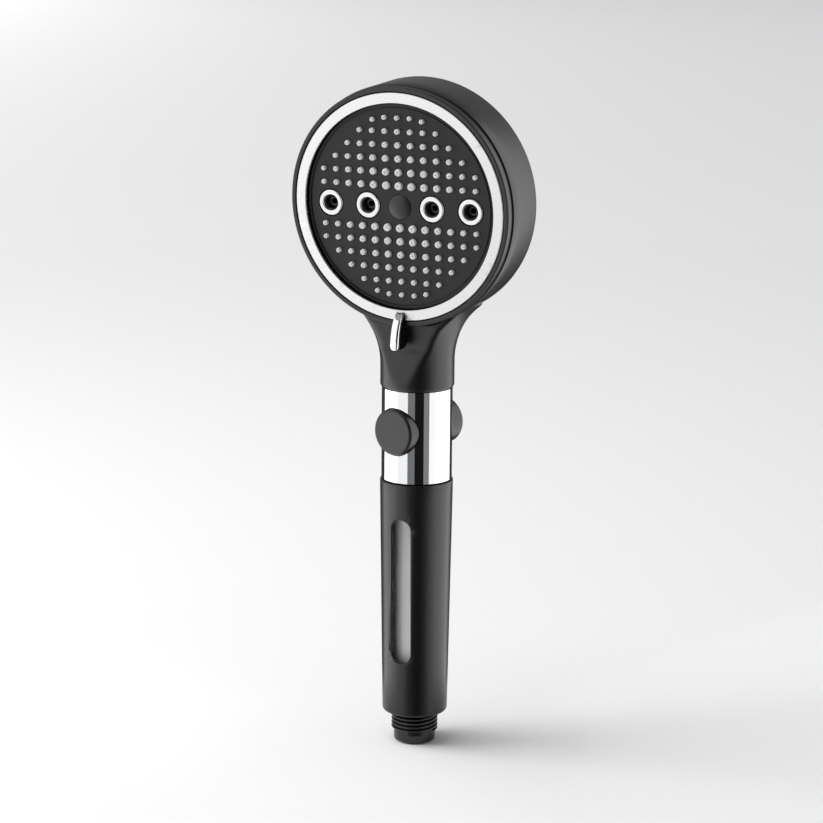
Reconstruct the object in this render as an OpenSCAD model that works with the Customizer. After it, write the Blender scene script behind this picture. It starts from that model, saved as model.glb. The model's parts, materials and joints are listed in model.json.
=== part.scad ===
// Handheld shower head: round spray head on a slim handle with a filter
// window, a push-through stop button and a lever that turns the spray mode.
// Millimetres. Origin at the centre of the inlet end, +Z up the handle, the
// spray face looks towards -Y.

/* [Inlet] */
// Outer diameter of the inlet thread over its crests (half-inch pipe thread)
thread_d = 20.955; // [20.8:0.005:21.1]
// Distance from one thread crest to the next
thread_pitch = 1.814; // [1.7:0.002:1.9]
// Depth from thread crest to thread root
thread_depth = 1.16; // [0.8:0.01:1.2]
// Number of full thread crests
thread_crests = 5; // [4:1:5]
// Diameter of the plain lead-in below the thread
lead_in_d = 18.8; // [18:0.1:19]
// Length of the plain lead-in
lead_in_len = 4.3; // [3.5:0.1:4.5]
// Diameter of the water bore of the inlet
inlet_bore_d = 12; // [9:0.1:12.5]

/* [Handle] */
// Height of the lower end of the handle sleeve
sleeve_z = 14.3; // [14:0.1:14.8]
// Radius of the sleeve at its lower end
sleeve_r_low = 14.6; // [14.3:0.1:15]
// Radius of the sleeve at its upper end
sleeve_r_top = 16.2; // [16:0.05:16.6]
// Radius of the bore through the sleeve
sleeve_bore_r = 12.4; // [12.3:0.05:12.6]
// Height of the lower end of the window slot
slot_z = 39.4; // [36:0.1:44]
// Length of the window slot
slot_len = 66.5; // [50:0.1:68]
// Width of the window slot
slot_w = 9.4; // [7:0.1:12]
// Outer radius of the clear filter tube
tube_r = 12.2; // [12:0.05:12.25]
// Wall of the clear filter tube
tube_wall = 1.3; // [1:0.1:1.5]
// Radius of the filter core
filter_r = 9.6; // [8:0.1:10]

/* [Stop valve] */
// Height of the lower edge of the bright band
band_z = 122.1; // [121:0.1:123]
// Height of the bright band
band_h = 41.6; // [40:0.1:41.8]
// Outer radius of the bright band
band_r = 15.6; // [15.3:0.1:15.9]
// Height of the stop button above the inlet end
button_z = 145.2; // [143:0.1:146]
// Turn of the stop button away from straight ahead, in degrees
button_turn = 12; // [0:1:20]
// Radius of both button caps
button_r = 10.4; // [9.8:0.05:10.4]
// Full travel of the stop button
button_travel = 3.2; // [3:0.1:3.2]
// Distance between the outer faces of the two caps
button_span = 38; // [37.8:0.1:39]

/* [Head] */
// Tilt of the spray face towards the floor, in degrees
face_tilt = 4.4; // [3:0.1:6]
// Distance of the ring's front plane before the handle's axis
face_y = 20.25; // [19.9:0.05:20.6]
// Height of the centre of the spray face
face_z = 244.2; // [243:0.1:245]
// Outer radius of the round housing
drum_r = 52.2; // [52:0.1:52.5]
// Depth from the ring's front plane to the back of the housing
drum_depth = 30; // [29:0.1:31]
// Outer radius of the black rim
rim_r = 51.6; // [51.4:0.1:51.8]
// Outer radius of the bright ring
ring_r = 49.17; // [48.9:0.01:49.2]
// Inner radius of the bright ring
ring_in_r = 44.62; // [44.5:0.01:44.9]
// Radius of the neck
neck_r = 16.3; // [16:0.1:16.5]
// Radius of the concave sweep from the neck to the housing
flare_r = 36; // [32:0.5:40]

/* [Spray face] */
// Sideways distance between nozzles
nozzle_dx = 6.0; // [5.8:0.01:6.05]
// Distance between nozzle rows
nozzle_dy = 5.82; // [5.7:0.01:5.9]
// Distance of the first row from the centre line
nozzle_y0 = 9.1; // [9:0.05:9.3]
// Largest distance of a nozzle from the centre
nozzle_reach = 38.9; // [38:0.1:39.2]
// Base radius of the nozzles next to the centre line
nozzle_r_mid = 1.65; // [1.5:0.05:1.7]
// Base radius of the outermost nozzles
nozzle_r_edge = 1.2; // [1.1:0.05:1.4]
// Radius of the water hole in a nozzle
nozzle_hole_r = 0.45; // [0.3:0.05:0.5]
// Distance of the inner pair of jets from the centre
jet_x_in = 15.2; // [14.8:0.1:15.6]
// Distance of the outer pair of jets from the centre
jet_x_out = 33.3; // [33:0.1:33.6]
// Outer radius of a jet's bright ring
jet_r = 5.6; // [5.2:0.1:5.7]
// Radius of the hole in a jet's bright ring
jet_hole_r = 3.45; // [3.1:0.05:3.5]

/* [Mode lever] */
// Width of the lever
lever_w = 3.9; // [3.5:0.1:4.5]
// Distance of the lever's tip from the centre of the face
lever_reach = 61; // [59:0.1:62]
// Height of the lever's tip above the ring
lever_h = 7.7; // [6.5:0.1:8]
// Thickness of the bright strip on the lever
trim_t = 2; // [1.6:0.1:2.2]

/* [Hidden] */
$fn = 96;
black = [0.16, 0.16, 0.17];
gloss = [0.07, 0.07, 0.08];
chrome = [0.82, 0.83, 0.85];
grey = [0.7, 0.71, 0.71];
white = [0.9, 0.9, 0.88];
rubber = [0.12, 0.12, 0.13];
clear = [0.85, 0.9, 0.92, 0.35];
eps = 0.01;
fit = 0.3;                      // gap between pieces that move past each other

thread_r = thread_d / 2;
bore_r = inlet_bore_d / 2;
bore_len = 15;                  // plain bore up to the wider filter inlet
crest_w = 0.4;                  // flat on each crest
thread_z = lead_in_len + 0.5;
lip_t = 2.7;                    // sleeve lip that holds the inlet connector
lip_z = sleeve_z + lip_t;
plug_r = sleeve_bore_r - 0.2;
plug_top = lip_z + 7;
seal_r = 0.74;                  // section radius of the handle's seals
seal_mid_r = sleeve_bore_r - seal_r - 0.03;
tube_z = plug_top + 0.3;
tube_top = 109;
cap_h = 4;                      // filter end caps
filter_z = tube_z + 2;
filter_top = tube_top - 1;

band_top = band_z + band_h;
band_wall = 1.2;
valve_r = band_r - band_wall - 0.1;
valve_plug_z = tube_top + 0.5;
neck_plug_r = 12.3;
neck_plug_top = band_top + 9;
rod_bore_r = 6;
rod_r = rod_bore_r - 0.06;
boss_r = 7.6;                   // tube around the rod inside the hollow caps
boss_len = 24;
web = 6;                        // half thickness of the wall between the caps
pocket_r = button_r + 0.35;
water_r = 5;
gate_half = 1.5;                // half length of the gate the rod closes
gate_w = 8;                     // width of the water gate
rest_shift = button_travel / 2; // the caps stand towards the back at rest
cap_len = 11.2;
cap_wall = 3;
cap_round = 1.4;
cap_in_r = boss_r + 0.6;

seam_w = -4.6;                  // joint between rim and housing
drum_round = 3;
drum_in_r = 49.4;
back_wall = 2.5;
shelf_r = 47.4;
shelf_w = -16;
plate_t = 3;
plate_r = 48.9;
hub_r = 4;
hub_top = -7;
disc_w = -12.6;
disc_t = 2.4;
skirt_r = 46.8;
skirt_in_r = 45.4;
ring_t = 1.6;
face_w = -2.2;                  // face plate below the ring's front plane
face_t = 1.8;
face_r = 44.2;
mat_w = -5.6;
mat_t = 1.5;
tip_w = -0.9;
port_r = 4;
port_at = 22;
screw_at = 43.6;
detent_at = 36;
ball_r = 1.2;
mode_step = 28;                 // angle between two spray modes
neck_front_w = -2.5;            // neck plane that the lever passes over
lever_foot_w = -2;
lever_root = 45.5;
lever_bulge = 1.8;              // how full the lever's side curve is
notch_t = 1;                    // depth of the lever's seat in the ring

// ---- helpers -------------------------------------------------------------

// Moves a piece modelled face up (+Z out of the spray face) into the head.
module on_face()
    translate([0, -face_y, face_z]) rotate([90 + face_tilt, 0, 0]) children();

// Turns a piece modelled along +Z so that it lies along +Y at the button.
module on_button()
    translate([0, 0, button_z]) rotate([0, 0, -button_turn])
        rotate([-90, 0, 0]) children();

module tube(r_out, r_in, z0, z1)
    translate([0, 0, z0]) difference() {
        cylinder(r = r_out, h = z1 - z0);
        translate([0, 0, -eps]) cylinder(r = r_in, h = z1 - z0 + 2 * eps);
    }

module rod(r, z0, z1) translate([0, 0, z0]) cylinder(r = r, h = z1 - z0);

module o_ring(mid_r, section_r, z)
    translate([0, 0, z]) rotate_extrude() translate([mid_r, 0])
        circle(r = section_r, $fn = 32);

// Quarter arc of points for rounded edges in turned profiles.
function arc(cx, cy, r, a0, a1, n = 8) =
    [for (i = [0 : n]) let (a = a0 + (a1 - a0) * i / n)
        [cx + r * cos(a), cy + r * sin(a)]];

// Face coordinates: v up the face, w out of the face, as [y, z] of the model.
function face_yz(v, w) = [
    -face_y - v * sin(face_tilt) - w * cos(face_tilt),
    face_z + v * cos(face_tilt) - w * sin(face_tilt)];

nozzle_counts = [13, 13, 11, 9, 7, 5];
nozzle_raw = [for (side = [1, -1]) for (k = [0 : 5])
    for (i = [0 : nozzle_counts[k] - 1])
        [(i - (nozzle_counts[k] - 1) / 2) * nozzle_dx,
            side * (nozzle_y0 + k * nozzle_dy)]];
nozzles = [for (p = nozzle_raw) p * min(1, nozzle_reach / norm(p))];
function nozzle_r(p) = nozzle_r_mid
    - (nozzle_r_mid - nozzle_r_edge) * max(0, norm(p) - 10) / (nozzle_reach - 10);
jets = [-jet_x_out, -jet_x_in, jet_x_in, jet_x_out];

// ---- handle --------------------------------------------------------------

module inlet_connector() color(gloss) {
    root_r = thread_r - thread_depth;
    flank = (thread_pitch - crest_w) * 0.38;
    chamfer = 0.7;
    shank_r = thread_r - 0.3;
    top = sleeve_z - 0.1;
    crest = [for (i = [0 : thread_crests - 1])
        let (z = thread_z + i * thread_pitch)
            each [[root_r, z], [thread_r, z + flank],
                [thread_r, z + flank + crest_w],
                [root_r, z + 2 * flank + crest_w]]];
    difference() {
        rotate_extrude() polygon(concat(
            [[0, 0], [lead_in_d / 2 - chamfer, 0], [lead_in_d / 2, chamfer],
                [lead_in_d / 2, lead_in_len], [root_r, lead_in_len]],
            crest,
            [[root_r, top], [shank_r, top], [shank_r, lip_z], [plug_r, lip_z],
                [plug_r, plug_top], [0, plug_top]]));
        rod(bore_r, -eps, bore_len);
        rod(bore_r + 2, bore_len - eps, plug_top + eps);
        tube(plug_r + 1, seal_mid_r - seal_r, lip_z + 2.6, lip_z + 4.4);
    }
}

module handle_seal_lower() color(rubber)
    o_ring(seal_mid_r, seal_r, lip_z + 3.5);

module handle_sleeve() color(black) {
    edge = 1.2;
    slot_mid = slot_z + slot_len / 2;
    top = band_z - 0.2;
    difference() {
        rotate_extrude() polygon(concat([[0, sleeve_z]],
            arc(sleeve_r_low - edge, sleeve_z + edge, edge, -90, 0),
            [[sleeve_r_top, top - 0.3], [sleeve_r_top - 0.3, top], [0, top]]));
        rod(sleeve_bore_r, lip_z, band_z);
        rod(thread_r + 0.2, sleeve_z - eps, lip_z + eps);
        // window slot in the front
        translate([0, -sleeve_bore_r + 3, slot_mid]) rotate([90, 0, 0]) {
            half = (slot_len - slot_w) / 2;
            for (s = [-1, 1]) translate([0, s * half, 0])
                cylinder(r = slot_w / 2, h = 12);
            translate([-slot_w / 2, -half, 0]) cube([slot_w, 2 * half, 12]);
        }
    }
}

module window_tube() color(clear)
    tube(tube_r, tube_r - tube_wall, tube_z, tube_top);

module filter_core() color(white)
    tube(filter_r, 4, filter_z + cap_h - 1, filter_top - cap_h + 1);

module filter_cap(z, flip) translate([0, 0, z]) rotate([flip ? 180 : 0, 0, 0])
    difference() {
        rod(tube_r - tube_wall - 0.25, 0, cap_h);
        translate([0, 0, cap_h - 1]) tube(filter_r + 0.1, 3.9, 0, 1 + eps);
        rod(3, -eps, cap_h + eps);
    }

module filter_cap_lower() color(grey) filter_cap(filter_z, false);

module filter_cap_upper() color(grey) filter_cap(filter_top, true);

// ---- stop valve ----------------------------------------------------------

module bright_band() color(chrome) difference() {
    z0 = band_z + 0.15;
    z1 = band_top - 0.15;
    tube(band_r, band_r - band_wall, z0, z1);
    on_button() rod(pocket_r, -band_r - 1, band_r + 1);
}

module valve_body() color(black) difference() {
    union() {
        rod(plug_r, valve_plug_z, band_z);
        rod(valve_r, band_z, band_top - 0.3);
        rod(neck_plug_r, band_top - 0.3 - eps, neck_plug_top);
    }
    tube(plug_r + 1, seal_mid_r - seal_r, band_z - 5.4, band_z - 3.6);
    tube(neck_plug_r + 1, neck_plug_r - 1.4, band_top + 4, band_top + 5.8);
    rod(water_r + 3, valve_plug_z - eps, valve_plug_z + 8);
    // water way, narrow where the rod crosses it
    rod(water_r, valve_plug_z, button_z - boss_r + 0.2);
    rod(water_r, button_z + boss_r - 0.2, neck_plug_top + eps);
    on_button() {
        cube([gate_w, 2 * boss_r, 2 * gate_half], center = true);
        rod(rod_bore_r, -valve_r - 1, valve_r + 1);
        for (s = [0, 180]) rotate([s, 0, 0]) {
            tube(pocket_r, boss_r, web, valve_r + 1);
            rod(pocket_r, boss_len / 2, valve_r + 1);
        }
    }
}

module handle_seal_upper() color(rubber)
    o_ring(seal_mid_r, seal_r, band_z - 4.5);

module neck_seal() color(rubber)
    o_ring(neck_plug_r - 0.6, seal_r, band_top + 4.9);

seal_groove = 1.7;              // width of a groove in the rod
rod_seals = [-8.4, 8.4];        // places of the rod's seals from its middle
rod_half = button_span / 2 - cap_wall;
pin_r = 2.6;
pin_len = 1.6;

module stop_plunger() color(grey) on_button()
    translate([0, 0, rest_shift]) difference() {
        union() {
            rod(rod_r, -rod_half, rod_half);
            rod(pin_r, -rod_half - pin_len, rod_half + pin_len);
        }
        tube(rod_r + 1, 2.8, -rest_shift - gate_half - 0.1,
            -rest_shift + gate_half + 0.1);
        for (y = rod_seals)
            tube(rod_r + 1, rod_r - 1.2, y - seal_groove / 2,
                y + seal_groove / 2);
    }

module plunger_seals() color(rubber) on_button()
    translate([0, 0, rest_shift])
        for (y = rod_seals) o_ring(rod_r - 0.6, 0.57, y);

// Hollow cap modelled along +Z, its outer face at z = 0.
module button_cap() {
    profile = concat([[0, 0]],
        arc(button_r - cap_round, -cap_round, cap_round, 90, 0),
        [[button_r, -cap_len], [cap_in_r, -cap_len], [cap_in_r, -cap_wall],
            [0, -cap_wall]]);
    difference() {
        rotate_extrude() polygon(profile);
        rod(pin_r + 0.03, -cap_wall - eps, -cap_wall + pin_len + 0.05);
    }
}

module front_button() color(black) on_button()
    translate([0, 0, rest_shift - button_span / 2]) rotate([180, 0, 0])
        button_cap();

module rear_button() color(black) on_button()
    translate([0, 0, rest_shift + button_span / 2]) button_cap();

// ---- head ----------------------------------------------------------------

// Neck seen from the side, with a flat front that the lever passes over.
module neck_side()
    translate([-drum_r, 0, 0]) rotate([90, 0, 90])
        linear_extrude(2 * drum_r) polygon([
            [-neck_r, band_top], [-neck_r, band_top + 3],
            face_yz(-lever_reach - 1.2, neck_front_w),
            face_yz(-drum_r, neck_front_w), face_yz(-drum_r + 8, seam_w - 1),
            face_yz(-drum_r + 14, seam_w - 1),
            face_yz(-drum_r + 14, -drum_depth + 6),
            face_yz(-drum_r + 5, -drum_depth + 0.6), [neck_r, band_top + 8],
            [neck_r, band_top]]);

// Round neck that sweeps out until it meets the round housing.
module neck_sweep() {
    reach = neck_r + flare_r;
    drop = sqrt(pow(drum_r + flare_r, 2) - reach * reach);
    z0 = face_z - drop;
    z1 = face_z - drop * drum_r / (drum_r + flare_r);
    chamfer = 0.6;
    rotate_extrude() difference() {
        polygon([[0, band_top], [neck_r - chamfer, band_top],
            [neck_r, band_top + chamfer], [neck_r, z0], [reach, z0],
            [reach, z1], [0, z1]]);
        translate([reach, z0]) circle(r = flare_r, $fn = 128);
    }
}

module head_housing() color(black) {
    drum = concat([[0, seam_w], [drum_r, seam_w]],
        arc(drum_r - drum_round, -drum_depth + drum_round, drum_round, 0, -90),
        [[0, -drum_depth]]);
    cavity = [[0, seam_w + 1], [drum_in_r, seam_w + 1], [drum_in_r, shelf_w],
        [shelf_r, shelf_w], [shelf_r, -drum_depth + back_wall],
        [0, -drum_depth + back_wall]];
    difference() {
        union() {
            on_face() rotate_extrude() polygon(drum);
            intersection() { neck_sweep(); neck_side(); }
        }
        on_face() difference() {
            rotate_extrude() polygon(cavity);
            for (a = [90, 210, 330]) rotate([0, 0, a])
                translate([screw_at, 0, 0])
                    tube(3.4, 1.5, -drum_depth, shelf_w);
        }
        // room for the rim where the neck's front plane passes it
        on_face() rod(rim_r + 0.15, seam_w, 1);
        rod(neck_plug_r + 0.2, band_top - eps, neck_plug_top + 0.5);
        translate([0, 5, 0]) rod(water_r, neck_plug_top - 1, face_z - 40);
    }
}

module front_rim() color(black) on_face() {
    edge = 0.7;
    rotate_extrude() polygon(concat(
        [[47.4, seam_w], [48.2, seam_w], [48.2, seam_w - 3.4], [49.2, seam_w - 3.4],
            [49.2, seam_w], [rim_r, seam_w]],
        arc(rim_r - edge, -0.15 - edge, edge, 0, 90),
        [[ring_r + 0.35, -0.15], [ring_r + 0.35, -ring_t - 0.6],
            [47.4, -ring_t - 0.6]]));
}

module chamber_plate() color(grey) on_face() difference() {
    top = shelf_w + plate_t;
    union() {
        rod(plate_r, shelf_w, top);
        rod(hub_r, top - eps, hub_top);
    }
    tube(plate_r + 1, plate_r - 1.1, shelf_w + 0.6, shelf_w + 2.3);
    rod(1.55, shelf_w - eps, hub_top + eps);
    for (a = [30, 150, 270]) rotate([0, 0, a]) translate([port_at, 0, 0]) {
        rod(port_r, shelf_w - eps, top + eps);
        tube(port_r + 2.1, port_r, top - 1.1, top + eps);
    }
    for (a = [90, 210, 330]) rotate([0, 0, a]) translate([screw_at, 0, 0]) {
        rod(1.6, shelf_w - eps, top + eps);
        rod(3, top - 1.7, top + eps);
    }
    rotate([0, 0, 60]) translate([detent_at, 0, 0])
        rod(ball_r + 0.12, shelf_w + 0.3, top + eps);
}

module chamber_seal() color(rubber) on_face()
    o_ring(plate_r - 0.4, 0.68, shelf_w + 1.45);

module chamber_screws() color(chrome) on_face()
    for (a = [90, 210, 330]) rotate([0, 0, a]) translate([screw_at, 0, 0]) {
        top = shelf_w + plate_t - 0.1;
        difference() {
            rod(2.8, top - 1.6, top);
            for (t = [0, 90]) rotate([0, 0, t])
                translate([-1.6, -0.35, top - 0.8]) cube([3.2, 0.7, 1]);
        }
        rod(1.45, shelf_w - 8, top - 1.6 + eps);
    }

module port_seals() color(rubber) on_face()
    for (a = [30, 150, 270]) rotate([0, 0, a]) translate([port_at, 0, 0])
        o_ring(port_r + 1.1, 0.62, shelf_w + plate_t - 0.45);

module detent_ball() color(chrome) on_face()
    rotate([0, 0, 60]) translate([detent_at, 0, disc_w - ball_r - 0.1])
        sphere(r = ball_r, $fn = 32);

// Short compression spring, drawn as a stack of coils.
module detent_spring() color(chrome) on_face()
    rotate([0, 0, 60]) translate([detent_at, 0, 0]) {
        wire = 0.1;
        for (i = [0 : 4]) o_ring(0.9, wire, shelf_w + 0.41 + i * 1.8 * wire);
    }

module selector_disc() color(black) on_face() difference() {
    union() {
        rod(skirt_r, disc_w, disc_w + disc_t);
        rod(7, disc_w + disc_t - eps, disc_w + disc_t + 1.5);
        tube(skirt_r, skirt_in_r, disc_w + disc_t - eps, -ring_t);
    }
    rod(hub_r + 0.05, disc_w - eps, disc_w + disc_t + 2);
    // one set of ports for each spray mode
    for (a = [30, 150, 270]) rotate([0, 0, a]) {
        translate([port_at, 0, 0]) rod(port_r - 0.4, disc_w - eps, disc_w + 4);
        rotate([0, 0, mode_step]) translate([port_at, 0, 0])
            rod(port_r - 1.4, disc_w - eps, disc_w + 4);
    }
    for (m = [-1, 0, 1]) rotate([0, 0, 60 + m * mode_step])
        translate([detent_at, 0, disc_w - 0.8]) sphere(r = ball_r + 0.2, $fn = 32);
}

module mode_ring() color(chrome) on_face() {
    edge = 0.25;
    notch_w = lever_w + 0.1;
    difference() {
        rotate_extrude() polygon([[ring_in_r, -ring_t], [ring_r, -ring_t],
            [ring_r, -edge], [ring_r - edge, 0], [ring_in_r + edge, 0],
            [ring_in_r, -edge]]);
        translate([-notch_w / 2, -ring_r - 1, -notch_t])
            cube([notch_w, ring_r + 1 - lever_root + 0.05, 2]);
    }
}

// Side curve of the lever as [distance from the face centre, height].
function lever_curve(root, height, n = 20) =
    [for (i = [0 : n]) let (t = 90 * i / n, p = 2 / lever_bulge)
        [lever_reach - (lever_reach - root) * pow(cos(t), p),
            height * pow(sin(t), p)]];

// Slice of the lever in its own plane, given a width across it.
module lever_slice(points, width) on_face()
    rotate([90, 0, -90]) translate([0, 0, -width / 2])
        linear_extrude(width) polygon(points);

module lever_arm() color(gloss) {
    clear_r = drum_r + 0.8;
    root = lever_root + trim_t + 0.02;
    high = lever_h - trim_t - 0.02;
    lever_slice(concat([[root, -notch_t]], lever_curve(root, high),
        [[lever_reach, 0], [lever_reach - 1.5, lever_foot_w],
            [clear_r, lever_foot_w], [clear_r, fit], [ring_r - 0.1, fit],
            [ring_r - 0.1, -notch_t]]), lever_w - 0.2);
}

module lever_trim() color(chrome) {
    root = lever_root + trim_t;
    inner = lever_curve(root, lever_h - trim_t);
    n = len(inner) - 1;
    lever_slice(concat([[lever_root, -notch_t]], lever_curve(lever_root, lever_h),
        [for (i = [0 : n]) inner[n - i]], [[root, -notch_t]]), lever_w);
}

// ---- spray face ----------------------------------------------------------

module face_plate() color(black) on_face() difference() {
    low = face_w - face_t;
    union() {
        rod(face_r, low, face_w);
        tube(face_r, face_r - 1.6, -9, low + eps);
        rod(6.5, hub_top, low + eps);
    }
    for (p = nozzles) translate([p.x, p.y, 0])
        rod(nozzle_r(p) + 0.12, low - eps, face_w + eps);
    for (x = jets) translate([x, 0, 0]) {
        rod(jet_r + 0.5, face_w - 0.8, face_w + eps);
        rod(jet_hole_r + 1.2, low - eps, face_w);
    }
    rod(5.5, -5, face_w + eps);
    rod(1.7, hub_top - eps, face_w);
    tube(face_r - 1, face_r - 1.8, face_w - 0.5, face_w + eps);
}

module nozzle_mat() color(grey) on_face() difference() {
    top = mat_w + mat_t;
    union() {
        rod(face_r - 1.8, mat_w, top);
        for (p = nozzles) translate([p.x, p.y, top - eps])
            cylinder(r1 = nozzle_r(p), r2 = nozzle_r(p) - 0.3,
                h = tip_w - top + eps, $fn = 32);
    }
    for (p = nozzles) translate([p.x, p.y, 0])
        cylinder(r = nozzle_hole_r, h = 20, center = true, $fn = 24);
    for (x = jets) translate([x, 0, 0]) rod(jet_hole_r + 1.4, -9, 0);
    rod(6.7, -9, 0);
}

module jet_rings() color(chrome) on_face() {
    low = face_w - 0.8;
    edge = 0.35;
    for (x = jets) translate([x, 0, 0]) rotate_extrude() polygon([
        [jet_hole_r, low - 0.9], [jet_hole_r + 1, low - 0.9],
        [jet_hole_r + 1, low], [jet_r, low], [jet_r, face_w + 0.4 - edge],
        [jet_r - edge, face_w + 0.4], [jet_hole_r + edge, face_w + 0.4],
        [jet_hole_r, face_w + 0.4 - edge]]);
}

module jet_inserts() color(gloss) on_face() {
    r = jet_hole_r - 0.05;
    top = face_w - 0.5;
    for (x = jets) translate([x, 0, 0]) rotate_extrude() polygon([
        [1.3, mat_w - 1.6], [r + 1, mat_w - 1.6], [r + 1, face_w - 1.75],
        [r, face_w - 1.75], [r, top], [r - 0.4, top], [2, top - 2.4],
        [1.3, top - 2.6]]);
}

module centre_cap() color(gloss) on_face() {
    r = 5.3;
    rise = 0.9;
    crown = (r * r + rise * rise) / (2 * rise);
    sweep = asin(r / crown);
    rotate_extrude() polygon(concat([[0, -3.4], [r, -3.4]],
        [for (i = [0 : 8]) let (a = sweep * (1 - i / 8))
            [crown * sin(a), face_w + rise - crown * (1 - cos(a))]]));
}

module face_screw() color(chrome) on_face() difference() {
    union() {
        rod(3, -5, -3.6);
        rod(1.45, shelf_w + 1, -5 + eps);
    }
    for (t = [0, 90]) rotate([0, 0, t])
        translate([-1.8, -0.35, -4.3]) cube([3.6, 0.7, 1]);
}

// ---- parts ---------------------------------------------------------------

inlet_connector();
handle_sleeve();
window_tube();
filter_core();
filter_cap_lower();
filter_cap_upper();
handle_seal_lower();
handle_seal_upper();
bright_band();
valve_body();
stop_plunger();
plunger_seals();
front_button();
rear_button();
neck_seal();
head_housing();
front_rim();
chamber_plate();
chamber_seal();
chamber_screws();
port_seals();
detent_ball();
detent_spring();
selector_disc();
mode_ring();
lever_arm();
lever_trim();
face_plate();
nozzle_mat();
jet_rings();
jet_inserts();
centre_cap();
face_screw();
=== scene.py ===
import json
import math

import bpy
from mathutils import Euler, Matrix, Vector


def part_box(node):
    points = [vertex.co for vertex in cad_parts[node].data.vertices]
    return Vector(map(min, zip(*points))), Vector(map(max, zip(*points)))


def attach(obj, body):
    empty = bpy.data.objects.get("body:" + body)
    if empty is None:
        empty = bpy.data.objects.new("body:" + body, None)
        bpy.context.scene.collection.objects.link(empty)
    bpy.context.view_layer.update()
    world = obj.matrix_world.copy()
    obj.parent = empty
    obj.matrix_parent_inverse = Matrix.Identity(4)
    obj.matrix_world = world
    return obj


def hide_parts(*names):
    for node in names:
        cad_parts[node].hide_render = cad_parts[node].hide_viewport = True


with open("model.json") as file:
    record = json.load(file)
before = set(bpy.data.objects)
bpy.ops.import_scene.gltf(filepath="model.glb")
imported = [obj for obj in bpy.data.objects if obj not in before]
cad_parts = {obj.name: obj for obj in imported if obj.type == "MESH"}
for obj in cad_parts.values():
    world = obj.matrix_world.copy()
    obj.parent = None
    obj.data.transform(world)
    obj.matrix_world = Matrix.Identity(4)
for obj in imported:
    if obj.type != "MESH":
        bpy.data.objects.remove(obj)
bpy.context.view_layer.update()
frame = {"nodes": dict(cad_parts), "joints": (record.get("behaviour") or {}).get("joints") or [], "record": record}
nodes = frame["nodes"]
bpy.ops.object.select_all(action="DESELECT")

# Inlet connector: a gloss black moulded end with a half-inch hose thread. The
# core is turned in one go and the thread is one ridge wound nearly five times round
# it, run out at both ends. It is held in the sleeve by its flange.
MM = 0.001


def linear(code):
    """sRGB hex to the linear values the shader wants."""
    parts = [int(code[i:i + 2], 16) / 255 for i in (1, 3, 5)]
    return tuple(p / 12.92 if p <= 0.04045 else ((p + 0.055) / 1.055) ** 2.4
                 for p in parts) + (1.0,)


def add(material, kind, settings=None, links=None):
    """Adds one node, sets its values and joins its inputs to other outputs."""
    made = material.node_tree.nodes.new(kind)
    for key, value in (settings or {}).items():
        if isinstance(key, str) and hasattr(made, key):
            setattr(made, key, value)
        else:
            made.inputs[key].default_value = value
    for key, source in (links or {}).items():
        material.node_tree.links.new(source, made.inputs[key])
    return made


def start_material(name):
    """An empty named material, and its Object coordinates for the patterns."""
    material = bpy.data.materials.new(name)
    material.use_nodes = True
    material.node_tree.nodes.clear()
    texture_place = add(material, "ShaderNodeTexCoord")
    return material, texture_place.outputs["Object"]


def finish_material(material, settings, links):
    """Adds the surface shader and joins it to the output."""
    shader = add(material, "ShaderNodeBsdfPrincipled", settings, links)
    add(material, "ShaderNodeOutputMaterial", None, {"Surface": shader.outputs["BSDF"]})


def cells(width):
    """The scale of a noise whose cells are width mm wide."""
    return 1 / (width * MM)


def paint(piece, material):
    """Gives a piece its one material through its object's slots."""
    if not piece.material_slots:
        piece.data.materials.append(material)
    for held in piece.material_slots:
        held.link = "OBJECT"
        held.material = material


def close_skin(piece):
    """Merges a piece's doubled points and turns its faces outwards."""
    bpy.ops.object.mode_set(mode="EDIT")
    bpy.ops.mesh.select_all(action="SELECT")
    bpy.ops.mesh.remove_doubles(threshold=0.001 * MM)
    bpy.ops.mesh.normals_make_consistent(inside=False)
    bpy.ops.object.mode_set(mode="OBJECT")


def turned(name, profile, segments, closed=False):
    """A turned piece from (radius, height) steps in mm; closed joins the last to the first."""
    bpy.ops.object.select_all(action="DESELECT")
    (radius, height), rest = profile[0], profile[1:]
    bpy.ops.mesh.primitive_circle_add(
        vertices=segments, radius=radius * MM, location=(0, 0, height * MM),
        fill_type="NOTHING" if closed else "NGON")
    piece = bpy.context.object
    bpy.ops.object.transform_apply(location=True)
    bpy.ops.object.mode_set(mode="EDIT")
    bpy.ops.mesh.select_all(action="SELECT")
    for new_radius, new_height in rest + ([profile[0]] if closed else []):
        bpy.ops.mesh.extrude_region_move(
            TRANSFORM_OT_translate={"value": (0, 0, (new_height - height) * MM)})
        grow = new_radius / radius
        bpy.ops.transform.resize(value=(grow, grow, 1), center_override=(0, 0, 0),
                                 constraint_axis=(True, True, False))
        radius, height = new_radius, new_height
    bpy.ops.object.mode_set(mode="OBJECT")
    close_skin(piece)
    piece.name = piece.data.name = name
    return piece


def soften(piece, width, segments):
    """Rounds a piece's sharp edges by width in mm and shades it smooth between them."""
    sharp, smooth_up_to = math.radians(30), math.radians(40)
    bpy.ops.object.select_all(action="DESELECT")
    piece.select_set(True)
    bpy.context.view_layer.objects.active = piece
    bevel = piece.modifiers.new("edges", "BEVEL")
    bevel.width, bevel.segments = width * MM, segments
    bevel.limit_method, bevel.angle_limit = "ANGLE", sharp
    bevel.use_clamp_overlap = True
    bpy.ops.object.modifier_apply(modifier=bevel.name)
    bpy.ops.object.shade_smooth_by_angle(angle=smooth_up_to)


def join(name, *parts):
    """Makes one piece of several."""
    bpy.ops.object.select_all(action="DESELECT")
    for part in parts:
        part.select_set(True)
    bpy.context.view_layer.objects.active = parts[0]
    bpy.ops.object.join()
    parts[0].name = parts[0].data.name = name
    return parts[0]


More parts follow.
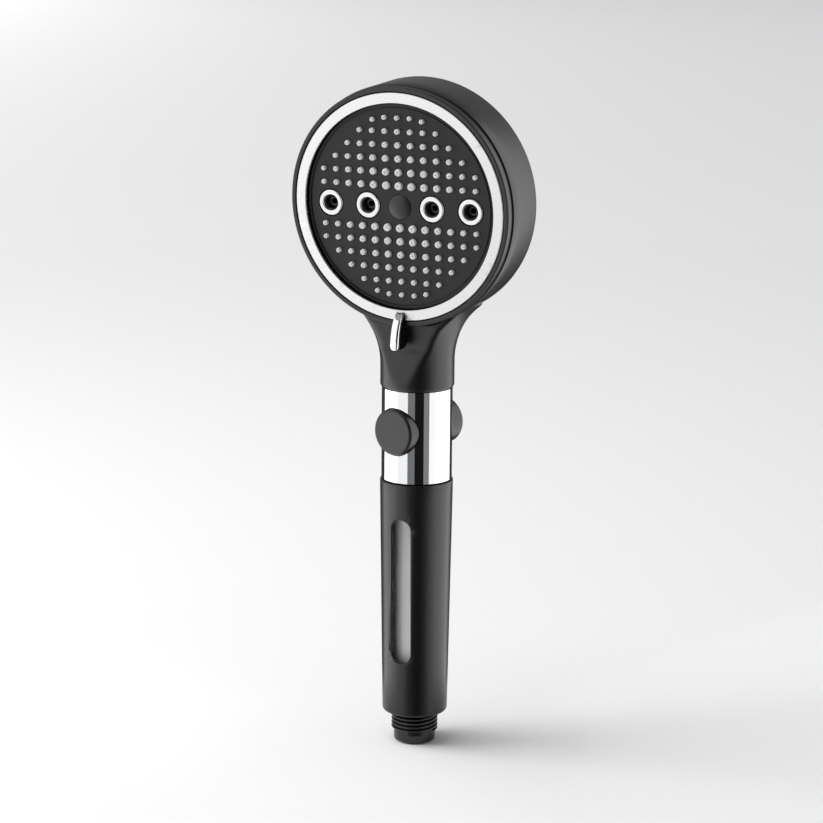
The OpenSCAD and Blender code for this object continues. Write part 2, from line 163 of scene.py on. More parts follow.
mounts = {mount["name"]: mount["dims"] for mount in frame["record"]["mounts"]}
bore_r, bore_length = mounts["inlet_bore"]["r_mm"], mounts["inlet_bore"]["length_mm"]
crest_r = mounts["inlet_thread"]["r_mm"]
pitch, thread_depth = 1.814, 1.16
root_r = crest_r - thread_depth
nose_r, nose_top, nose_edge = 9.4, 4.1, 0.7
collar_r, plug_r, filter_inlet_r, lip = crest_r - 0.3, 12.2, 8.0, 2.7
top_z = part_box("inlet_connector")[1].z / MM
rim_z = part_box("handle_sleeve")[0].z / MM
connector = turned("inlet_core", [
    (bore_r, 0), (nose_r - nose_edge, 0), (nose_r, nose_edge), (nose_r, nose_top),
    (root_r, nose_top + 0.3), (root_r, rim_z - 0.15), (collar_r, rim_z - 0.1),
    (collar_r, rim_z + lip), (plug_r, rim_z + lip), (plug_r, top_z),
    (filter_inlet_r, top_z), (filter_inlet_r, bore_length), (bore_r, bore_length)],
    96, closed=True)
soften(connector, 0.12, 2)

# one pitch of the ridge's section, wound up along the core with its foot sunk in it
ridge_turns, ridge_z, steps_per_turn = 4.6, 4.95, 72
crest_half, foot_half, foot_sunk = 0.24, 0.78, 0.3
bpy.ops.object.select_all(action="DESELECT")
bpy.ops.mesh.primitive_plane_add(size=MM, rotation=(math.pi / 2, 0, 0))
ridge = bpy.context.object
bpy.ops.object.transform_apply(location=True, rotation=True)
for vertex in ridge.data.vertices:
    outer = vertex.co.x > 0
    half = crest_half if outer else foot_half
    vertex.co.x = (crest_r if outer else root_r - foot_sunk) * MM
    vertex.co.z = (ridge_z + (half if vertex.co.z > 0 else -half)) * MM
wind = ridge.modifiers.new("wind", "SCREW")
wind.angle = 2 * math.pi * ridge_turns
wind.screw_offset = pitch * ridge_turns * MM
wind.iterations = 1
wind.steps = wind.render_steps = round(steps_per_turn * ridge_turns)
wind.axis = "Z"
wind.use_merge_vertices = False
bpy.context.view_layer.objects.active = ridge
ridge.select_set(True)
bpy.ops.object.modifier_apply(modifier=wind.name)
close_skin(ridge)
# the ridge runs out into the core over its first and last eighth of a turn
run_out, slack = math.pi / 4, 0.6
whole = 2 * math.pi * ridge_turns
sunk_r = root_r * MM - 0.1 * MM
for vertex in ridge.data.vertices:
    radius = math.hypot(vertex.co.x, vertex.co.y)
    wound = (vertex.co.z / MM - ridge_z) / pitch * 2 * math.pi
    keep = min(1, max(0, wound + slack) / run_out, max(0, whole - wound + slack) / run_out)
    if radius > root_r * MM:
        lower = sunk_r + (radius - sunk_r) * keep
        vertex.co.x *= lower / radius
        vertex.co.y *= lower / radius
soften(ridge, 0.1, 2)
inlet = join("inlet_thread_end", connector, ridge)

# Gloss black ABS, injection moulded: deep black with a clean shine, made slightly
# uneven by flow marks about 11 mm apart.
gloss_abs, position = start_material("gloss_moulded_abs")
flow = add(gloss_abs, "ShaderNodeTexNoise", {"Scale": cells(11.1), "Detail": 3.0},
           {"Vector": position})
tone = add(gloss_abs, "ShaderNodeValToRGB", None, {"Fac": flow.outputs["Fac"]})
tone.color_ramp.elements[0].color = linear("#0b0b0c")
tone.color_ramp.elements[1].color = linear("#151516")
shine = add(gloss_abs, "ShaderNodeMapRange", {"To Min": 0.12, "To Max": 0.22},
            {"Value": flow.outputs["Fac"]})
swell = add(gloss_abs, "ShaderNodeBump", {"Strength": 0.06, "Distance": 0.2 * MM},
            {"Height": flow.outputs["Fac"]})
finish_material(gloss_abs, {"IOR": 1.53}, {
    "Base Color": tone.outputs["Color"], "Roughness": shine.outputs["Result"],
    "Normal": swell.outputs["Normal"]})
paint(inlet, gloss_abs)
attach(inlet, "shell")
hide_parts("inlet_connector")

# Handle sleeve: one long tapered moulding in matt black ABS with a rounded lower
# edge and a window slot in its front. Its edges are broken by a small radius.
def break_edges(node, width, segments):
    """Welds a CAD node's surface and rounds its edges by width in mm."""
    weld = node.modifiers.new("weld", "WELD")
    weld.merge_threshold = 0.002 * MM
    bevel = node.modifiers.new("edges", "BEVEL")
    bevel.width, bevel.segments = width * MM, segments
    bevel.limit_method, bevel.angle_limit = "ANGLE", math.radians(35)
    bevel.use_clamp_overlap = True
    bevel.harden_normals = True


# Matt black ABS from a spark-eroded tool: a soft wide sheen over a fine grain.
# The real grain of about 0.05 mm is drawn at about 0.36 mm so that it shows.
matt_abs, position = start_material("matt_moulded_abs")
grain = add(matt_abs, "ShaderNodeTexNoise", {"Scale": cells(0.357), "Detail": 2.0},
            {"Vector": position})
cloud = add(matt_abs, "ShaderNodeTexNoise", {"Scale": cells(22.2), "Detail": 4.0},
            {"Vector": position})
tone = add(matt_abs, "ShaderNodeValToRGB", None, {"Fac": cloud.outputs["Fac"]})
tone.color_ramp.elements[0].color = linear("#0b0b0c")
tone.color_ramp.elements[1].color = linear("#0f0f10")
dull = add(matt_abs, "ShaderNodeMapRange", {"To Min": 0.31, "To Max": 0.36},
           {"Value": cloud.outputs["Fac"]})
pits = add(matt_abs, "ShaderNodeBump", {"Strength": 0.12, "Distance": 0.04 * MM},
           {"Height": grain.outputs["Fac"]})
finish_material(matt_abs, {"IOR": 1.53}, {
    "Base Color": tone.outputs["Color"], "Roughness": dull.outputs["Result"],
    "Normal": pits.outputs["Normal"]})
break_edges(nodes["handle_sleeve"], 0.35, 3)
paint(nodes["handle_sleeve"], matt_abs)

# Filter window: a clear moulded tube behind the slot, with a white melt-blown
# felt core between two plain plastic end caps.
clear_tube, position = start_material("clear_moulded_plastic")
drift = add(clear_tube, "ShaderNodeTexNoise", {"Scale": cells(16.7), "Detail": 2.0},
            {"Vector": position})
haze = add(clear_tube, "ShaderNodeMapRange", {"To Min": 0.03, "To Max": 0.12},
           {"Value": drift.outputs["Fac"]})
finish_material(clear_tube, {
    "Base Color": linear("#f4f6f6"), "IOR": 1.49, "Transmission Weight": 1.0,
    "Alpha": 0.15}, {"Roughness": haze.outputs["Result"]})
paint(nodes["window_tube"], clear_tube)

# Melt-blown polypropylene: soft white with crossed fibres. They are about 0.02 mm
# thick, and are drawn about 0.55 mm apart so that they show.
felt, position = start_material("melt_blown_felt")
fibre = add(felt, "ShaderNodeTexNoise",
            {"Scale": cells(0.556), "Detail": 6.0, "Roughness": 0.7}, {"Vector": position})
tone = add(felt, "ShaderNodeValToRGB", None, {"Fac": fibre.outputs["Fac"]})
tone.color_ramp.elements[0].color = linear("#e2e2df")
tone.color_ramp.elements[1].color = linear("#fbfbf8")
nap = add(felt, "ShaderNodeBump", {"Strength": 0.5, "Distance": 0.3 * MM},
          {"Height": fibre.outputs["Fac"]})
finish_material(felt, {"Roughness": 0.95, "Sheen Weight": 0.2, "IOR": 1.49},
                {"Base Color": tone.outputs["Color"], "Normal": nap.outputs["Normal"]})
paint(nodes["filter_core"], felt)

# Natural polypropylene, moulded: pale, and faintly mottled every 8 mm or so.
pale_moulding, position = start_material("pale_moulded_plastic")
mottle = add(pale_moulding, "ShaderNodeTexNoise", {"Scale": cells(8.33), "Detail": 3.0},
             {"Vector": position})
tone = add(pale_moulding, "ShaderNodeValToRGB", None, {"Fac": mottle.outputs["Fac"]})
tone.color_ramp.elements[0].color = linear("#dcdcd8")
tone.color_ramp.elements[1].color = linear("#ecece9")
finish_material(pale_moulding, {"Roughness": 0.35, "IOR": 1.5},
                {"Base Color": tone.outputs["Color"]})
for name in ("filter_cap_lower", "filter_cap_upper"):
    paint(nodes[name], pale_moulding)

# Bright band: a drawn tube with a mirror chrome plate over the stop valve, with a
# round hole front and back for the button. Its edges are rolled in slightly.
stop_push = next(j for j in frame["joints"] if j["name"] == "stop_push")
push_way = Vector(stop_push["axis"]).normalized()
band_low, band_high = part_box("bright_band")
cap_low, cap_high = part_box("front_button")
band_r, band_wall, hole_gap, joint_gap, band_rows = 15.6, 1.2, 0.35, 0.25, 24
hole_r = (cap_high.z - cap_low.z) / 2 / MM + hole_gap
band_height = (band_high.z - band_low.z) / MM - 2 * joint_gap
row_z = [band_low.z / MM + joint_gap + band_height * row / band_rows
         for row in range(band_rows + 1)]


def cut_away(piece, cutter):
    """Cuts one solid out of a piece and removes the cutter."""
    bpy.ops.object.select_all(action="DESELECT")
    bpy.context.view_layer.objects.active = piece
    piece.select_set(True)
    cut = piece.modifiers.new("cut", "BOOLEAN")
    cut.operation, cut.solver, cut.object = "DIFFERENCE", "EXACT", cutter
    bpy.ops.object.modifier_apply(modifier=cut.name)
    bpy.data.objects.remove(cutter)


band = turned("band_shell", [(band_r, z) for z in row_z]
              + [(band_r - band_wall, z) for z in reversed(row_z)], 192, closed=True)
bpy.ops.mesh.primitive_cylinder_add(
    vertices=128, radius=hole_r * MM, depth=4 * band_r * MM,
    location=(0, 0, (cap_low.z + cap_high.z) / 2),
    rotation=push_way.to_track_quat("Z", "Y").to_euler())
cut_away(band, bpy.context.object)
soften(band, 0.25, 3)
# the outer wall keeps the normals of a true cylinder, so that it mirrors cleanly
on_wall = 0.02 * MM
band_normals = [corner.vector.copy() for corner in band.data.corner_normals]
for face in band.data.polygons:
    corners = [band.data.vertices[v].co for v in face.vertices]
    if all(abs(math.hypot(c.x, c.y) - band_r * MM) < on_wall for c in corners):
        for loop, corner in zip(face.loop_indices, corners):
            band_normals[loop] = Vector((corner.x, corner.y, 0)).normalized()
band.data.normals_split_custom_set(band_normals)

# Mirror chrome plate over brass: nearly clean, with a slow ripple 18 mm long.
mirror_plate, position = start_material("mirror_chrome_plate")
ripple = add(mirror_plate, "ShaderNodeTexNoise", {"Scale": cells(18.2), "Detail": 2.0},
             {"Vector": position})
polish = add(mirror_plate, "ShaderNodeMapRange", {"To Min": 0.035, "To Max": 0.075},
             {"Value": ripple.outputs["Fac"]})
tone = add(mirror_plate, "ShaderNodeValToRGB", None, {"Fac": ripple.outputs["Fac"]})
tone.color_ramp.elements[0].color = linear("#e3e4e6")
tone.color_ramp.elements[1].color = linear("#e9eaec")
finish_material(mirror_plate, {"Metallic": 1.0}, {
    "Base Color": tone.outputs["Color"], "Roughness": polish.outputs["Result"]})
paint(band, mirror_plate)
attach(band, "shell")
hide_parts("bright_band")

# Stop button: a push-through rod with a hollow matt cap at each end and rubber
# rings in its grooves. Pushing either cap slides the rod across the water way. The
# valve body it slides in and the selector disc are moulded in the same black.
for name in ("front_button", "rear_button", "valve_body", "selector_disc"):
    paint(nodes[name], matt_abs)

# Acetal for the turned rod and the moulded plate: mid grey, faintly mottled.
grey_moulding, position = start_material("grey_moulded_plastic")
mottle = add(grey_moulding, "ShaderNodeTexNoise", {"Scale": cells(6.67), "Detail": 4.0},
             {"Vector": position})
tone = add(grey_moulding, "ShaderNodeValToRGB", None, {"Fac": mottle.outputs["Fac"]})
tone.color_ramp.elements[0].color = linear("#8f9092")
tone.color_ramp.elements[1].color = linear("#a2a3a4")
finish_material(grey_moulding, {"Roughness": 0.4, "IOR": 1.5},
                {"Base Color": tone.outputs["Color"]})
for name in ("stop_plunger", "chamber_plate"):
    paint(nodes[name], grey_moulding)

# Moulded nitrile seal rings: near black with a dull, slightly dusty skin.
seal_rubber, position = start_material("nitrile_seal_rubber")
dust = add(seal_rubber, "ShaderNodeTexNoise", {"Scale": cells(2.5), "Detail": 5.0},
           {"Vector": position})
tone = add(seal_rubber, "ShaderNodeValToRGB", None, {"Fac": dust.outputs["Fac"]})
tone.color_ramp.elements[0].color = linear("#121212")
tone.color_ramp.elements[1].color = linear("#242424")
finish_material(seal_rubber, {"Roughness": 0.55, "IOR": 1.52},
                {"Base Color": tone.outputs["Color"]})
for name in ("plunger_seals", "neck_seal", "handle_seal_lower", "handle_seal_upper",
             "chamber_seal", "port_seals"):
    paint(nodes[name], seal_rubber)

# Head housing: a deep round cup on a neck that sweeps down to the handle, moulded
# in one in matt black. The neck has a flat front for the lever to pass over.
mode_turn = next(j for j in frame["joints"] if j["name"] == "mode_turn")
face_centre = Vector(mode_turn["pos_m"])
face_out = Vector(mode_turn["axis"]).normalized()
face_tilt = math.asin(-face_out.z)
onto_face = (Matrix.Translation(face_centre)
             @ Matrix.Rotation(math.pi / 2 + face_tilt, 4, "X"))


def set_on_face(piece):
    """Moves a piece made face up at the origin onto the tilted spray face."""
    piece.data.transform(onto_face)
    piece.data.update()


# heights are counted out of the face, so the back of the housing is at -drum_depth
drum_r, drum_depth, back_edge_r, seam = 52.18, 30.0, 3, -4.6
mouth_r, mouth_floor, chamber_r, back_wall = 49.4, -16, 47.4, 2.5
round_edge = [(drum_r - back_edge_r + back_edge_r * math.sin(math.radians(a)),
               -drum_depth + back_edge_r - back_edge_r * math.cos(math.radians(a)))
              for a in range(0, 91, 9)]
drum = turned("housing_drum", round_edge + [
    (drum_r, -12), (drum_r, seam), (mouth_r, seam), (mouth_r, mouth_floor),
    (chamber_r, mouth_floor), (chamber_r, -drum_depth + back_wall)], 192)
soften(drum, 0.25, 2)
set_on_face(drum)

# the neck is swept from the handle's round into the housing by two concave arcs, and
# kept between a bent line in front, flat under the lever, and one behind
neck_bottom = band_high.z / MM + 0.15
neck_r, flare_r = 16.3, 36.0
centre_z = face_centre.z / MM
reach = neck_r + flare_r
drop = math.sqrt((drum_r + flare_r) ** 2 - reach ** 2)
flare_z = centre_z - drop
join_z = centre_z - drop * drum_r / (drum_r + flare_r)


def face_point(v, w):
    """(y, z) in mm of the point v up the face and w out of it."""
    return (face_centre.y / MM - v * math.sin(face_tilt) - w * math.cos(face_tilt),
            centre_z + v * math.cos(face_tilt) - w * math.sin(face_tilt))


def along(points, z):
    """y at height z on a bent line of (y, z) points."""
    for (y0, z0), (y1, z1) in zip(points, points[1:]):
        if z <= z1:
            return y0 + (y1 - y0) * max(0, z - z0) / (z1 - z0)
    return points[-1][0]


lever_flat_end, lever_flat_set = 62.2, -2.5
front_line = [(-neck_r, neck_bottom), (-neck_r, neck_bottom + 3),
              face_point(-lever_flat_end, lever_flat_set),
              face_point(-drum_r, lever_flat_set), face_point(-drum_r + 8, seam - 1)]
back_line = [(neck_r, neck_bottom), (neck_r, neck_bottom + 8),
             face_point(-drum_r + 5, -drum_depth + 0.6),
             face_point(-drum_r + 10.5, -drum_depth + 5)]
neck_top = join_z + 3
neck_steps, neck_sides = 46, 160
back_lag, arc_rounds = 0.35, 3
front_blend, back_blend, least_blend = 3.5, 11, 0.05
foot_step, least_side = 0.5, 0.02
bpy.ops.object.select_all(action="DESELECT")
bpy.ops.mesh.primitive_circle_add(vertices=neck_sides, radius=neck_r * MM,
                                  location=(0, 0, neck_bottom * MM), fill_type="NGON")
neck = bpy.context.object
neck.name = neck.data.name = "housing_neck"
bpy.ops.object.transform_apply(location=True)
bpy.ops.object.mode_set(mode="EDIT")
bpy.ops.mesh.select_all(action="SELECT")
neck_height = neck_top - neck_bottom
for step in range(neck_steps):
    bpy.ops.mesh.extrude_region_move(
        TRANSFORM_OT_translate={"value": (0, 0, neck_height / neck_steps * MM)})
bpy.ops.mesh.select_all(action="SELECT")
bpy.ops.mesh.normals_make_consistent(inside=False)
bpy.ops.object.mode_set(mode="OBJECT")
for vertex in neck.data.vertices:
    z = vertex.co.z / MM
    angle = math.atan2(vertex.co.y, vertex.co.x)
    radius = neck_r
    side = math.sin(angle)
    # the sweep starts later towards the back, so that it stays behind the edge
    for arc_round in range(arc_rounds):
        swept = min(z, join_z) - back_lag * max(0, radius * side)
        if swept > flare_z:
            radius = reach - math.sqrt(flare_r ** 2 - (swept - flare_z) ** 2)
    up = (z - neck_bottom) / neck_height
    blend = least_blend + (front_blend if side < 0 else back_blend) * up
    wall = along(front_line, z) if side < 0 else along(back_line, z)
    if abs(side) > least_side:
        flat = wall / side
        gap = max(blend - abs(flat - radius), 0) / blend
        radius = min(flat, radius) - gap * gap * blend / 4
    if z < neck_bottom + 0.01:
        radius -= foot_step
    vertex.co.x = radius * math.cos(angle) * MM
    vertex.co.y = radius * math.sin(angle) * MM
# the neck ends inside the housing's wall, and clear of the rim in front of the seam
inside_wall_r, clear_of_rim_r, past_face = 50.3, 51.75, 2
room = turned("room", [
    (inside_wall_r, -drum_depth + 2.7), (inside_wall_r, seam), (clear_of_rim_r, seam),
    (clear_of_rim_r, past_face)], 192)
set_on_face(room)
cut_away(neck, room)
bpy.ops.object.shade_smooth_by_angle(angle=math.radians(35))
for piece in (drum, neck):
    paint(piece, matt_abs)
    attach(piece, "shell")
    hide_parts("head_housing")

# Front rim: a separate matt black ring welded into the housing's mouth. It leaves
# the thin joint line that runs round the head just behind the front.
rim_r, rim_front, rim_back, ring_seat_r, ring_seat = 51.6, -0.15, -4.45, 49.52, -2.2
spigot_r, spigot_in_r, spigot_end = 49.2, 48.2, -8.0
rim = turned("front_rim_ring", [
    (chamber_r, ring_seat), (chamber_r, seam), (spigot_in_r, seam),
    (spigot_in_r, spigot_end), (spigot_r, spigot_end), (spigot_r, rim_back),
    (rim_r, rim_back), (rim_r, rim_front), (ring_seat_r, rim_front),
    (ring_seat_r, ring_seat)], 192, closed=True)
soften(rim, 0.5, 4)
set_on_face(rim)
paint(rim, matt_abs)
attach(rim, "shell")
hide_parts("front_rim")

# Mode ring: a flat satin plated ring that turns with the lever. It is bead blasted
# before it is plated, which leaves a fine bright sparkle. The real dents of about
# 0.1 mm are drawn at 0.45 mm so that they show.
satin_plate, position = start_material("satin_chrome_plate")
blast = add(satin_plate, "ShaderNodeTexNoise", {"Scale": cells(0.4545), "Detail": 3.0},
            {"Vector": position})
satin = add(satin_plate, "ShaderNodeMapRange", {"To Min": 0.22, "To Max": 0.36},
            {"Value": blast.outputs["Fac"]})
dents = add(satin_plate, "ShaderNodeBump", {"Strength": 0.35, "Distance": 0.08 * MM},
            {"Height": blast.outputs["Fac"]})
finish_material(satin_plate, {"Base Color": linear("#dadadb"), "Metallic": 1.0},
                {"Roughness": satin.outputs["Result"], "Normal": dents.outputs["Normal"]})
break_edges(nodes["mode_ring"], 0.15, 2)
paint(nodes["mode_ring"], satin_plate)

# Mode lever: a gloss black fin on the ring with a bright plated strip bent over its
# front. The strip is a rounded hook that stands up from the ring and points down.
break_edges(nodes["lever_arm"], 0.25, 2)
paint(nodes["lever_arm"], gloss_abs)
lever_reach, lever_root, lever_high = 61.0, 45.5, 7.65
lever_wide, trim_thick, lever_fullness = 3.9, 2.0, 1.8
trim_rows, trim_sides = 40, 28
tip_share, tip_least, root_sunk = 0.14, 0.3, 0.9
flat_across, flat_deep = 0.6, 0.75
bpy.ops.object.select_all(action="DESELECT")
bpy.ops.mesh.primitive_circle_add(vertices=trim_sides, radius=MM, fill_type="NGON")
trim = bpy.context.object
trim.name = trim.data.name = "lever_hook"
bpy.ops.object.mode_set(mode="EDIT")
bpy.ops.mesh.select_all(action="SELECT")
for row in range(trim_rows):
    bpy.ops.mesh.extrude_region_move(TRANSFORM_OT_translate={"value": (0, 0, MM)})
bpy.ops.object.mode_set(mode="OBJECT")


def hook(root, high, share):
    """(distance from the face centre, height) on the hook's side curve."""
    turn, power = math.pi / 2 * share, 2 / lever_fullness
    return Vector((lever_reach - (lever_reach - root) * max(0, math.cos(turn)) ** power,
                   high * math.sin(turn) ** power))


for vertex in trim.data.vertices:
    share = min(1, max(0, (round(vertex.co.z / MM) - 1) / (trim_rows - 1)))
    across, deep = vertex.co.x / MM, vertex.co.y / MM
    across = math.copysign(min(1, abs(across)) ** flat_across, across)
    deep = math.copysign(min(1, abs(deep)) ** flat_deep, deep)
    outer = hook(lever_root, lever_high, share)
    inner = hook(lever_root + trim_thick, lever_high - trim_thick, share)
    # the tip is rounded off over its last steps, and the root is sunk in the ring
    left = 1 - share
    full = 1
    if left <= tip_share:
        full = tip_least + (1 - tip_least) * math.sqrt(1 - (1 - left / tip_share) ** 2)
    down, out = inner + (outer - inner) * (0.5 + 0.5 * deep * full)
    if vertex.co.z < 0.5 * MM:
        out = -root_sunk
    vertex.co = Vector((across * lever_wide / 2 * full, -down, out)) * MM
bpy.ops.object.mode_set(mode="EDIT")
bpy.ops.mesh.select_all(action="SELECT")
bpy.ops.mesh.normals_make_consistent(inside=False)
bpy.ops.object.mode_set(mode="OBJECT")
bpy.ops.object.shade_smooth_by_angle(angle=math.radians(50))
set_on_face(trim)
paint(trim, mirror_plate)
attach(trim, "mode_dial")
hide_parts("lever_trim")

# Face plate: a charcoal disc moulded in ABS with a fine matt face, pierced for the
# soft nozzles and sunk round the four big jets. Its grain of about 0.05 mm is drawn
# at a third of a millimetre so that it shows.
face_abs, position = start_material("fine_matt_charcoal_abs")
grain = add(face_abs, "ShaderNodeTexNoise", {"Scale": cells(0.3333), "Detail": 2.0},
            {"Vector": position})
cloud = add(face_abs, "ShaderNodeTexNoise", {"Scale": cells(16.7), "Detail": 3.0},
            {"Vector": position})
tone = add(face_abs, "ShaderNodeValToRGB", None, {"Fac": cloud.outputs["Fac"]})
tone.color_ramp.elements[0].color = linear("#141414")
tone.color_ramp.elements[1].color = linear("#191919")
pits = add(face_abs, "ShaderNodeBump", {"Strength": 0.15, "Distance": 0.04 * MM},
           {"Height": grain.outputs["Fac"]})
finish_material(face_abs, {"Roughness": 0.5, "IOR": 1.53, "Specular IOR Level": 0.35}, {
    "Base Color": tone.outputs["Color"], "Normal": pits.outputs["Normal"]})
paint(nodes["face_plate"], face_abs)

# Nozzle mat: one sheet of soft grey silicone with 116 short nozzles that stand up
# through the face plate. Each has a rounded lip and a small water hole.
row_counts = (13, 13, 11, 9, 7, 5)
across, between, first_row, near, far = 6.0, 5.82, 9.1, 10, 38.9
mid_r, edge_r = 1.7, 1.05
hub_hole_r, sheet_r, sheet_low, sheet_high = 6.8, 42.3, -5.6, -4.1
jet_room_r, jets_at = 4.85, (-33.3, -15.2, 15.2, 33.3)
mat = turned("mat_sheet", [(hub_hole_r, sheet_low), (sheet_r, sheet_low),
                           (sheet_r, sheet_high), (hub_hole_r, sheet_high)], 96, closed=True)
for x in jets_at:
    bpy.ops.mesh.primitive_cylinder_add(
        vertices=48, radius=jet_room_r * MM, depth=4 * MM,
        location=(x * MM, 0, (sheet_low + sheet_high) / 2 * MM))
    cut_away(mat, bpy.context.object)
nozzle_places = []
for side in (1, -1):
    for row, count in enumerate(row_counts):
        for place in range(count):
            x = (place - (count - 1) / 2) * across
            y = side * (first_row + row * between)
            pull = min(1, far / math.hypot(x, y))
            nozzle_places.append((x * pull, y * pull))
nozzle = turned("nozzle", [
    (1.75, -4.2), (1.7, -2.3), (1.66, -1.2), (1.58, -0.98), (1.44, -0.92), (0.8, -0.87),
    (0.32, -0.86), (0.26, -0.94), (0.24, -2.0)], 14)
bpy.ops.object.shade_smooth()
nozzles = []
for x, y in nozzle_places:
    one = nozzle.copy()
    one.data = nozzle.data.copy()
    bpy.context.collection.objects.link(one)
    distance = math.hypot(x, y)
    size = mid_r - (mid_r - edge_r) * max(0, distance - near) / (far - near)
    for vertex in one.data.vertices:
        vertex.co.x = vertex.co.x * size / mid_r + x * MM
        vertex.co.y = vertex.co.y * size / mid_r + y * MM
    nozzles.append(one)
bpy.data.objects.remove(nozzle)
mat = join("nozzle_sheet", mat, *nozzles)
set_on_face(mat)

# Pressed grey silicone: soft and chalky, with a faint pale bloom.
silicone, position = start_material("moulded_silicone")
chalk = add(silicone, "ShaderNodeTexNoise", {"Scale": cells(2), "Detail": 4.0},
            {"Vector": position})
tone = add(silicone, "ShaderNodeValToRGB", None, {"Fac": chalk.outputs["Fac"]})
tone.color_ramp.elements[0].color = linear("#bdbdbc")
tone.color_ramp.elements[1].color = linear("#cfcfcd")
finish_material(silicone, {"Roughness": 0.6, "IOR": 1.42, "Sheen Weight": 0.1},
                {"Base Color": tone.outputs["Color"]})
paint(mat, silicone)
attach(mat, "shell")
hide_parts("nozzle_mat")

# Big jets: four plated rings pressed into the face round black inserts with a
# stepped, tapered bore.
break_edges(nodes["jet_rings"], 0.15, 2)
paint(nodes["jet_rings"], mirror_plate)
paint(nodes["jet_inserts"], matt_abs)

# Centre cap: a small domed cap in matt black that snaps over the screw which holds
# the face plate to the chamber plate.
paint(nodes["centre_cap"], matt_abs)

# Screws, ball and spring inside the head: headed screws of zinc plated steel, and
# the ball and the coiled spring that click the dial into its three places.
steel, position = start_material("zinc_plated_steel")
brush = add(steel, "ShaderNodeTexNoise", {"Scale": cells(1.11), "Detail": 3.0},
            {"Vector": position})
rub = add(steel, "ShaderNodeMapRange", {"To Min": 0.25, "To Max": 0.4},
          {"Value": brush.outputs["Fac"]})
finish_material(steel, {"Base Color": linear("#b9bbbe"), "Metallic": 1.0},
                {"Roughness": rub.outputs["Result"]})
for name in ("chamber_screws", "face_screw", "detent_ball", "detent_spring"):
    paint(nodes[name], steel)

# Studio: a wide pale floor under a soft sun from the left, with a near soft light
# below it, a long low one far behind and a dim sky. Cards that only gloss sees give
# the bright band its stripes and the black shapes their bright edges.
bpy.ops.object.select_all(action="DESELECT")
bpy.ops.mesh.primitive_plane_add(size=40, location=(0, 8, -0.0003))
floor = bpy.context.object
floor.name = "floor"
pale_floor, position = start_material("pale_studio_floor")
paper = add(pale_floor, "ShaderNodeTexNoise", {"Scale": cells(3.33), "Detail": 2.0},
            {"Vector": position})
tone = add(pale_floor, "ShaderNodeValToRGB", None, {"Fac": paper.outputs["Fac"]})
tone.color_ramp.elements[0].color = linear("#ebebeb")
tone.color_ramp.elements[1].color = linear("#eeeeee")
finish_material(pale_floor, {"Roughness": 0.9, "Specular IOR Level": 0.1},
                {"Base Color": tone.outputs["Color"]})
paint(floor, pale_floor)


def soft_light(name, place, aim, size, tall, radiance):
    """A rectangular soft light of even brightness that faces a point."""
    data = bpy.data.lights.new(name, "AREA")
    data.shape, data.size, data.size_y = "RECTANGLE", size, tall
    data.energy = math.pi * size * tall * radiance
    lamp = bpy.data.objects.new(name, data)
    bpy.context.collection.objects.link(lamp)
    lamp.location = place
    lamp.rotation_euler = (Vector(aim) - Vector(place)).to_track_quat("-Z", "Y").to_euler()
    lamp.visible_camera = False
    return lamp


camera_turn, camera_down, camera_roll = (math.radians(a) for a in (26.64, 12.52, 0.45))


def round_object(turn, distance, height):
    """A place round the object; turn in degrees is counted from the camera, to its right."""
    angle = camera_turn + math.radians(turn)
    return Vector((math.sin(angle) * distance, -math.cos(angle) * distance, height))


def unseen(lamp):
    """Keeps a lamp out of shiny surfaces, which mirror the cards instead."""
    lamp.visible_glossy = False
    return lamp


sun_data = bpy.data.lights.new("soft_sun", "SUN")
sun_data.angle = math.radians(45)
sun_data.energy = 1.15
sun = unseen(bpy.data.objects.new("soft_sun", sun_data))
bpy.context.collection.objects.link(sun)
sun.rotation_euler = (-round_object(-84, 0.5, 1.3)).to_track_quat("-Z", "Y").to_euler()
unseen(soft_light("near_key", round_object(-92, 0.95, 0.75), Vector((0, 0, 0)),
                  0.6, 0.6, 5.6))
unseen(soft_light("left_wall", Vector((-4.03, 2.46, 1.0)), Vector((-3.13, 2.91, 0.9)),
                  10.0, 2.0, 2.0))


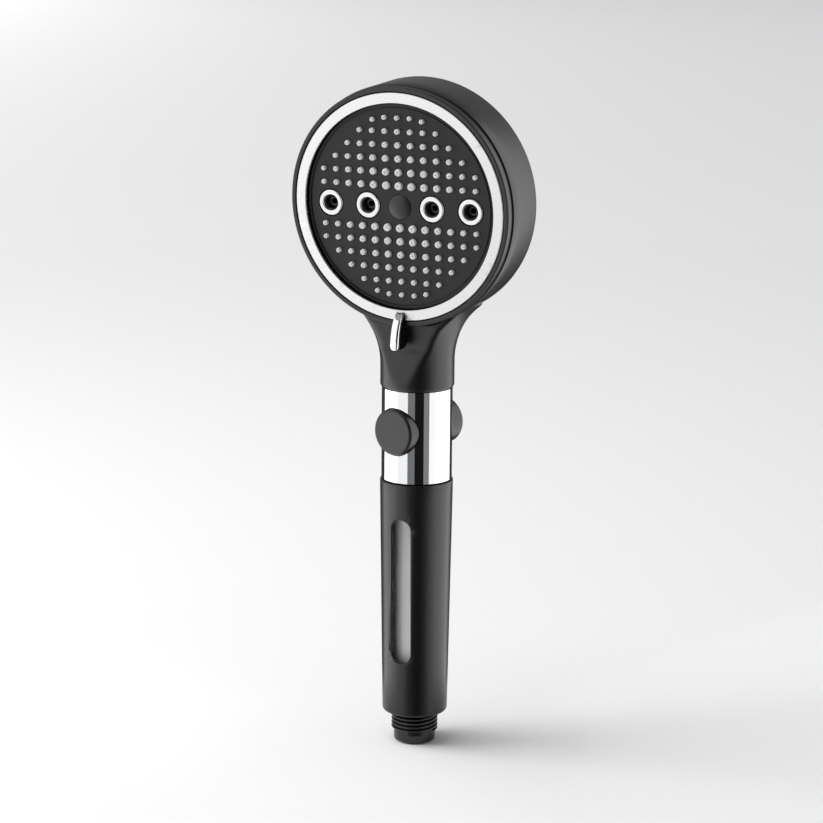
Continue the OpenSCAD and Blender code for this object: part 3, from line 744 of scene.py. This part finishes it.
def card(name, turns, distances, heights, glow):
    """A curved reflector card that only gloss sees, from turn to turn round the object."""
    steps = 16
    corners, faces = [], []
    for step in range(steps + 1):
        turn = turns[0] + (turns[1] - turns[0]) * step / steps
        corners += [round_object(turn, d, h) for d, h in zip(distances, heights)]
    for step in range(steps):
        faces.append((2 * step, 2 * step + 1, 2 * step + 3, 2 * step + 2))
    mesh = bpy.data.meshes.new(name)
    mesh.from_pydata(corners, [], faces)
    piece = bpy.data.objects.new(name, mesh)
    bpy.context.collection.objects.link(piece)
    piece.visible_camera = piece.visible_diffuse = piece.visible_shadow = False
    piece.visible_transmission = piece.visible_volume_scatter = False
    material = start_material(name + "_paper")[0]
    shader = add(material, "ShaderNodeEmission",
                 {"Color": (glow, glow, glow, 1), "Strength": 1.0})
    add(material, "ShaderNodeOutputMaterial", None,
        {"Surface": shader.outputs["Emission"]})
    paint(piece, material)


# cards that lie on the floor, then those that stand on it
front_reach, side_reach, lying = (0.03, 2.2), (0.08, 1.6), (0.001, 0.001)
card("front_floor_flag", (-7, 22), front_reach, lying, 0.01)
card("left_grey_card", (-30, -7), front_reach, lying, 0.2)
card("right_grey_card", (22, 40), front_reach, lying, 0.25)
card("left_inner_card", (-66, -30), side_reach, lying, 1.1)
card("left_outer_card", (-128, -66), side_reach, lying, 2.2)
card("right_inner_card", (40, 62), side_reach, lying, 1.2)
card("right_outer_card", (62, 134), side_reach, lying, 2.0)
card("left_back_flag", (-178, -128), side_reach, lying, 0.05)
card("right_back_flag", (134, 178), side_reach, lying, 0.05)
card("front_wall_flag", (-26, 30), (2.2, 2.2), (0.0, 2.5), 0.01)
card("left_side_card", (-115, -40), (1.2, 1.2), (0.0, 1.4), 1.35)
card("right_side_card", (50, 130), (1.2, 1.2), (0.0, 1.4), 2.0)

world = bpy.data.worlds.new("studio_air")
bpy.context.scene.world = world
world.use_nodes = True
sky = world.node_tree.nodes["Background"]
sky.inputs["Color"].default_value = linear("#ffffff")
sky.inputs["Strength"].default_value = 0.36

camera_data = bpy.data.cameras.new("camera")
camera_data.sensor_width = 36
camera_data.lens = 100.6
camera = bpy.data.objects.new("camera", camera_data)
bpy.context.collection.objects.link(camera)
camera.location = (0.4416, -0.8858, 0.3716)
aim = (Euler((math.pi / 2 - camera_down, 0, camera_turn)).to_matrix()
       @ Matrix.Rotation(camera_roll, 3, "Z"))
camera.rotation_euler = aim.to_euler()
bpy.context.scene.camera = camera
bpy.context.scene.view_settings.view_transform = "Standard"
